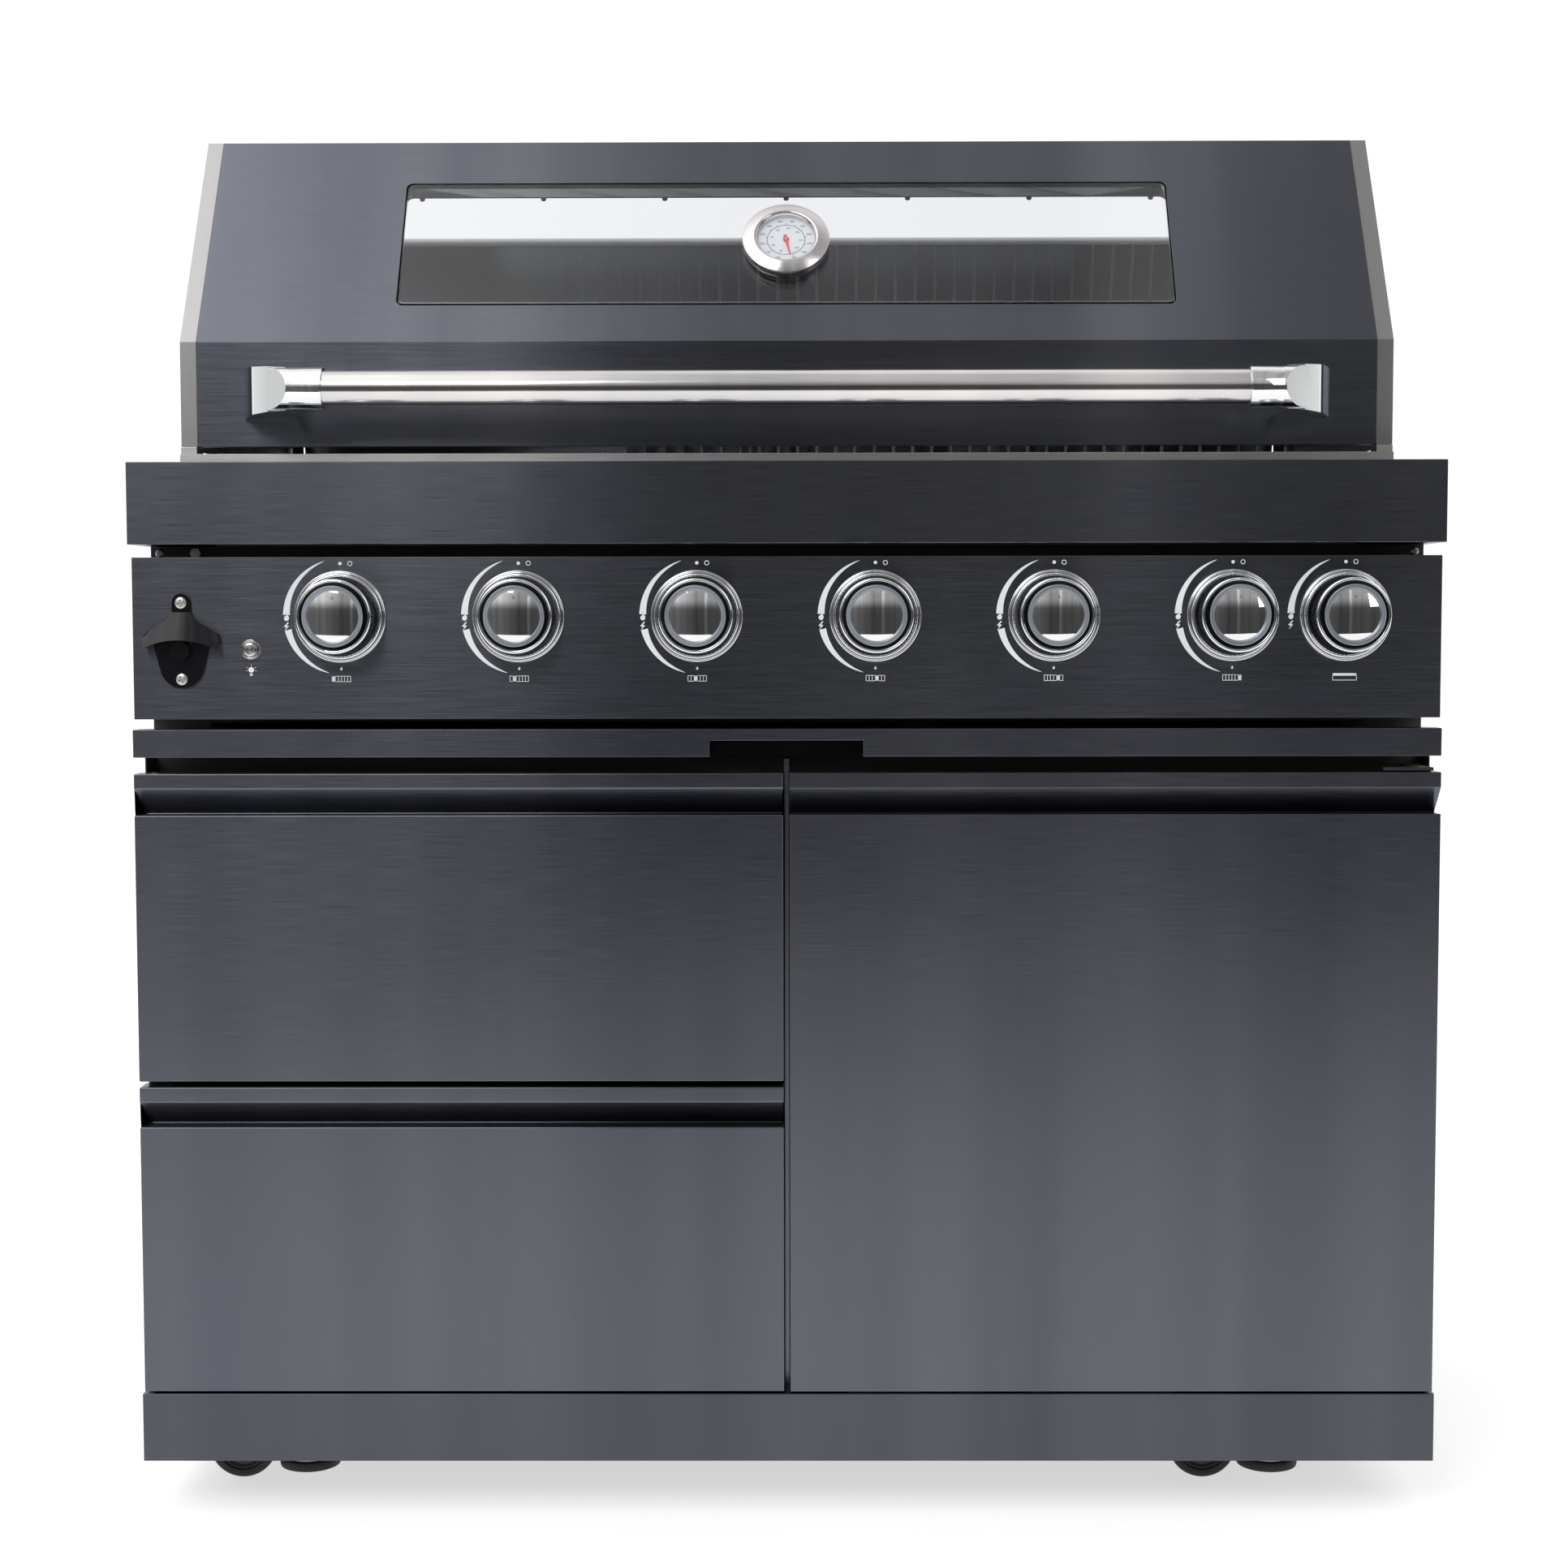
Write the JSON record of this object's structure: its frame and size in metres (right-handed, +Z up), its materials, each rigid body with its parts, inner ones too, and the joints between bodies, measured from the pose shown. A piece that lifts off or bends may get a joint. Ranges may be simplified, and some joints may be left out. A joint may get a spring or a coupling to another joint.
{
  "type": "gas barbecue grill",
  "caption": "Hooded gas barbecue head with window, handle, knobs and bench-top frame on a cabinet with drawers, door, drip tray and levelling casters.",
  "frame": {"origin": "on the floor under the centre of the overall box", "axes": "+Z up, the front with the knobs faces -Y, +X to the right of a person standing at the front"},
  "size_m": [1.13, 0.64, 1.232],
  "materials": {
    "black_steel": "horizontal brushed grain, black-tinted stainless, satin",
    "bright_steel": "brushed stainless, satin",
    "chrome": "polished",
    "dark_paint": "satin black powder coat",
    "galvanised": "zinc-coated sheet, matte",
    "cast_iron": "enamelled cast iron, matte",
    "rubber": "matte black",
    "glass": "clear toughened glass",
    "brass": "machined brass",
    "gloss_black": "gloss black enamel",
    "red_paint": "red paint"
  },
  "bodies": {
    "root": {"cabinet_sides": "black_steel", "cabinet_back": "galvanised", "cabinet_floor": "dark_paint", "center_divider": "black_steel", "kick_plate": "black_steel", "bench_top_frame": "black_steel", "control_panel": "black_steel", "head_chassis": "dark_paint", "firebox": "bright_steel", "rear_wall": "bright_steel", "hinge_pins": "bright_steel", "main_burners": "bright_steel", "flame_tamers": "bright_steel", "cooking_grates": "cast_iron", "hotplate": "cast_iron", "back_burner": "bright_steel", "gas_manifold": "bright_steel", "gas_valves": "brass", "control_bezels": "bright_steel", "bottle_opener": "gloss_black", "fasteners": "bright_steel", "drawer_rails": "galvanised"},
    "hood": {"hood_shell": "black_steel", "hood_end_caps": "bright_steel", "window_glass": "glass", "window_frame": "dark_paint", "handle_tube": "bright_steel", "handle_brackets": "chrome", "thermometer_case": "bright_steel"},
    "needle": {"thermometer_needle": "red_paint"},
    "light_button": {"light_button": "chrome"},
    "upper_drawer": {"upper_drawer_front": "black_steel", "upper_drawer_box": "galvanised"},
    "lower_drawer": {"lower_drawer_front": "black_steel", "lower_drawer_box": "galvanised"},
    "door": {"door_panel": "black_steel"},
    "drip_tray": {"drip_tray": "black_steel"},
    "levelling_feet": {"levelling_feet": "rubber"},
    "valve_stem_1": {"valve_stem_1": "brass"},
    "knob_1": {"knob_1": "chrome"},
    "valve_stem_2": {"valve_stem_2": "brass"},
    "knob_2": {"knob_2": "chrome"},
    "valve_stem_3": {"valve_stem_3": "brass"},
    "knob_3": {"knob_3": "chrome"},
    "valve_stem_4": {"valve_stem_4": "brass"},
    "knob_4": {"knob_4": "chrome"},
    "valve_stem_5": {"valve_stem_5": "brass"},
    "knob_5": {"knob_5": "chrome"},
    "valve_stem_6": {"valve_stem_6": "brass"},
    "knob_6": {"knob_6": "chrome"},
    "valve_stem_7": {"valve_stem_7": "brass"},
    "knob_7": {"knob_7": "chrome"},
    "caster_1": {"caster_frame_1": "dark_paint"},
    "wheel_1": {"caster_wheel_1": "rubber"},
    "caster_2": {"caster_frame_2": "dark_paint"},
    "wheel_2": {"caster_wheel_2": "rubber"},
    "caster_3": {"caster_frame_3": "dark_paint"},
    "wheel_3": {"caster_wheel_3": "rubber"},
    "caster_4": {"caster_frame_4": "dark_paint"},
    "wheel_4": {"caster_wheel_4": "rubber"}
  },
  "joints": [
    {"name": "hood_hinge", "type": "hinge", "parent": "root", "child": "hood", "pos_m": [0, 0.225, 0.968], "axis": [-1, 0, 0], "range_deg": [0, 80]},
    {"name": "thermometer_needle_turn", "type": "hinge", "parent": "hood", "child": "needle", "pos_m": [0, -0.16806, 1.1163], "axis": [0, 0.8485, -0.5292], "range_deg": [0, 330]},
    {"name": "light_button_push", "type": "slide", "parent": "root", "child": "light_button", "axis": [0, 1, 0], "range_m": [0, 0.002], "stiffness_N_per_m": 400},
    {"name": "upper_drawer_slide", "type": "slide", "parent": "root", "child": "upper_drawer", "axis": [0, -1, 0], "range_m": [0, 0.35]},
    {"name": "lower_drawer_slide", "type": "slide", "parent": "root", "child": "lower_drawer", "axis": [0, -1, 0], "range_m": [0, 0.35]},
    {"name": "door_hinge", "type": "hinge", "parent": "root", "child": "door", "pos_m": [0.554, -0.268, 0.38], "axis": [0, 0, 1], "range_deg": [0, 100]},
    {"name": "drip_tray_slide", "type": "slide", "parent": "root", "child": "drip_tray", "axis": [0, -1, 0], "range_m": [0, 0.4]},
    {"name": "knob_1_push", "type": "slide", "parent": "root", "child": "valve_stem_1", "axis": [0, 1, 0], "range_m": [0, 0.003], "stiffness_N_per_m": 600},
    {"name": "knob_1_turn", "type": "hinge", "parent": "valve_stem_1", "child": "knob_1", "pos_m": [-0.3825, -0.3, 0.785], "axis": [0, -1, 0], "range_deg": [0, 180]},
    {"name": "knob_2_push", "type": "slide", "parent": "root", "child": "valve_stem_2", "axis": [0, 1, 0], "range_m": [0, 0.003], "stiffness_N_per_m": 600},
    {"name": "knob_2_turn", "type": "hinge", "parent": "valve_stem_2", "child": "knob_2", "pos_m": [-0.2295, -0.3, 0.785], "axis": [0, -1, 0], "range_deg": [0, 180]},
    {"name": "knob_3_push", "type": "slide", "parent": "root", "child": "valve_stem_3", "axis": [0, 1, 0], "range_m": [0, 0.003], "stiffness_N_per_m": 600},
    {"name": "knob_3_turn", "type": "hinge", "parent": "valve_stem_3", "child": "knob_3", "pos_m": [-0.0765, -0.3, 0.785], "axis": [0, -1, 0], "range_deg": [0, 180]},
    {"name": "knob_4_push", "type": "slide", "parent": "root", "child": "valve_stem_4", "axis": [0, 1, 0], "range_m": [0, 0.003], "stiffness_N_per_m": 600},
    {"name": "knob_4_turn", "type": "hinge", "parent": "valve_stem_4", "child": "knob_4", "pos_m": [0.0765, -0.3, 0.785], "axis": [0, -1, 0], "range_deg": [0, 180]},
    {"name": "knob_5_push", "type": "slide", "parent": "root", "child": "valve_stem_5", "axis": [0, 1, 0], "range_m": [0, 0.003], "stiffness_N_per_m": 600},
    {"name": "knob_5_turn", "type": "hinge", "parent": "valve_stem_5", "child": "knob_5", "pos_m": [0.2295, -0.3, 0.785], "axis": [0, -1, 0], "range_deg": [0, 180]},
    {"name": "knob_6_push", "type": "slide", "parent": "root", "child": "valve_stem_6", "axis": [0, 1, 0], "range_m": [0, 0.003], "stiffness_N_per_m": 600},
    {"name": "knob_6_turn", "type": "hinge", "parent": "valve_stem_6", "child": "knob_6", "pos_m": [0.3825, -0.3, 0.785], "axis": [0, -1, 0], "range_deg": [0, 180]},
    {"name": "knob_7_push", "type": "slide", "parent": "root", "child": "valve_stem_7", "axis": [0, 1, 0], "range_m": [0, 0.003], "stiffness_N_per_m": 600},
    {"name": "knob_7_turn", "type": "hinge", "parent": "valve_stem_7", "child": "knob_7", "pos_m": [0.479, -0.3, 0.785], "axis": [0, -1, 0], "range_deg": [0, 90]},
    {"name": "caster_1_swivel", "type": "hinge", "parent": "root", "child": "caster_1", "pos_m": [-0.438, -0.18, 0.07], "axis": [0, 0, 1], "continuous": true},
    {"name": "wheel_1_spin", "type": "hinge", "parent": "caster_1", "child": "wheel_1", "pos_m": [-0.498, -0.18, 0.031], "axis": [0, 1, 0], "continuous": true},
    {"name": "caster_2_swivel", "type": "hinge", "parent": "root", "child": "caster_2", "pos_m": [0.438, -0.18, 0.07], "axis": [0, 0, 1], "continuous": true},
    {"name": "wheel_2_spin", "type": "hinge", "parent": "caster_2", "child": "wheel_2", "pos_m": [0.378, -0.18, 0.031], "axis": [0, 1, 0], "continuous": true},
    {"name": "caster_3_swivel", "type": "hinge", "parent": "root", "child": "caster_3", "pos_m": [-0.438, 0.185, 0.07], "axis": [0, 0, 1], "continuous": true},
    {"name": "wheel_3_spin", "type": "hinge", "parent": "caster_3", "child": "wheel_3", "pos_m": [-0.498, 0.185, 0.031], "axis": [0, 1, 0], "continuous": true},
    {"name": "caster_4_swivel", "type": "hinge", "parent": "root", "child": "caster_4", "pos_m": [0.438, 0.185, 0.07], "axis": [0, 0, 1], "continuous": true},
    {"name": "wheel_4_spin", "type": "hinge", "parent": "caster_4", "child": "wheel_4", "pos_m": [0.378, 0.185, 0.031], "axis": [0, 1, 0], "continuous": true},
    {"name": "levelling_feet_lower", "type": "slide", "parent": "root", "child": "levelling_feet", "axis": [0, 0, -1], "range_m": [0, 0.014]}
  ]
}
